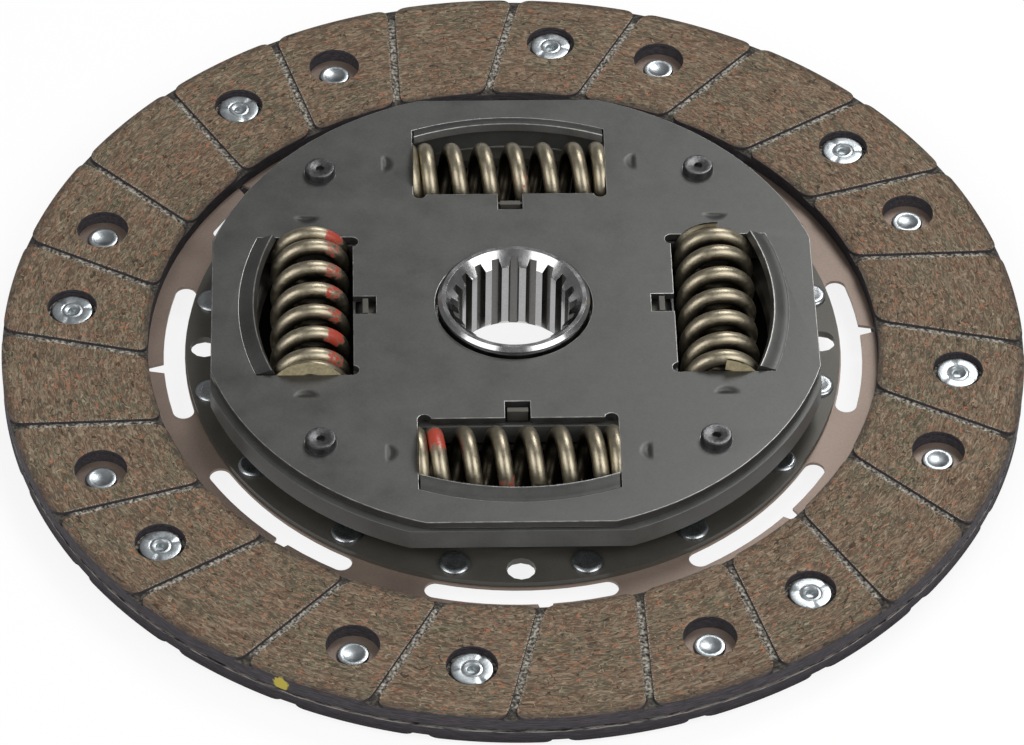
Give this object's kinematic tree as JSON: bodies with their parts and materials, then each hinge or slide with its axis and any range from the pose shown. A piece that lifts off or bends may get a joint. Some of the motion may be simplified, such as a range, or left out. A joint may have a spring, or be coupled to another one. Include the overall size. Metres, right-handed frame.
{
  "type": "clutch disc",
  "caption": "Dry clutch disc of 228 mm with grooved riveted facings, a four-spring torsion damper and a 20-tooth splined hub.",
  "frame": {"origin": "on the disc's axis, in the plane of the hub's end on the flywheel side, which is the lowest plane of the part", "axes": "+Z along the axis towards the gearbox; the four damper springs' windows lie on +X, -X, +Y and -Y"},
  "size_m": [0.228, 0.228, 0.0234],
  "materials": {
    "friction_facing": "ground",
    "plated_rivets": "plated",
    "cushion_steel": "satin",
    "plate_steel": "satin",
    "spring_steel": "satin",
    "hub_steel": "turned",
    "flange_steel": "forged",
    "friction_plastic": "moulded"
  },
  "bodies": {
    "disc": {"facing_gearbox_side": "friction_facing", "facing_flywheel_side": "friction_facing", "facing_rivets_gearbox_side": "plated_rivets", "facing_rivets_flywheel_side": "plated_rivets", "cushion_plate": "cushion_steel", "driven_plate": "plate_steel", "cover_plate": "plate_steel", "plate_rivets": "plated_rivets", "stop_pins": "plated_rivets", "hub_bush": "friction_plastic", "friction_ring_flywheel_side": "friction_plastic", "friction_ring_gearbox_side": "friction_plastic", "support_plate": "cushion_steel", "wave_washer": "cushion_steel"},
    "hub": {"hub": "hub_steel", "hub_flange": "flange_steel"},
    "springs": {"damper_spring_1": "spring_steel", "damper_spring_2": "spring_steel", "damper_spring_3": "spring_steel", "damper_spring_4": "spring_steel"}
  },
  "joints": [
    {"name": "damper_twist", "type": "hinge", "parent": "disc", "child": "hub", "pos_m": [0, 0, 0], "axis": [0, 0, 1], "range_deg": [-8, 8], "stiffness_Nm_per_rad": 300, "deforming": ["damper_spring_1", "damper_spring_2", "damper_spring_3", "damper_spring_4"]},
    {"name": "springs_follow", "type": "hinge", "parent": "disc", "child": "springs", "pos_m": [0, 0, 0], "axis": [0, 0, 1], "range_deg": [-4.5, 4.5]}
  ],
  "couplings": [
    {"joint": "springs_follow", "follows": "damper_twist", "ratio": 0.5}
  ]
}
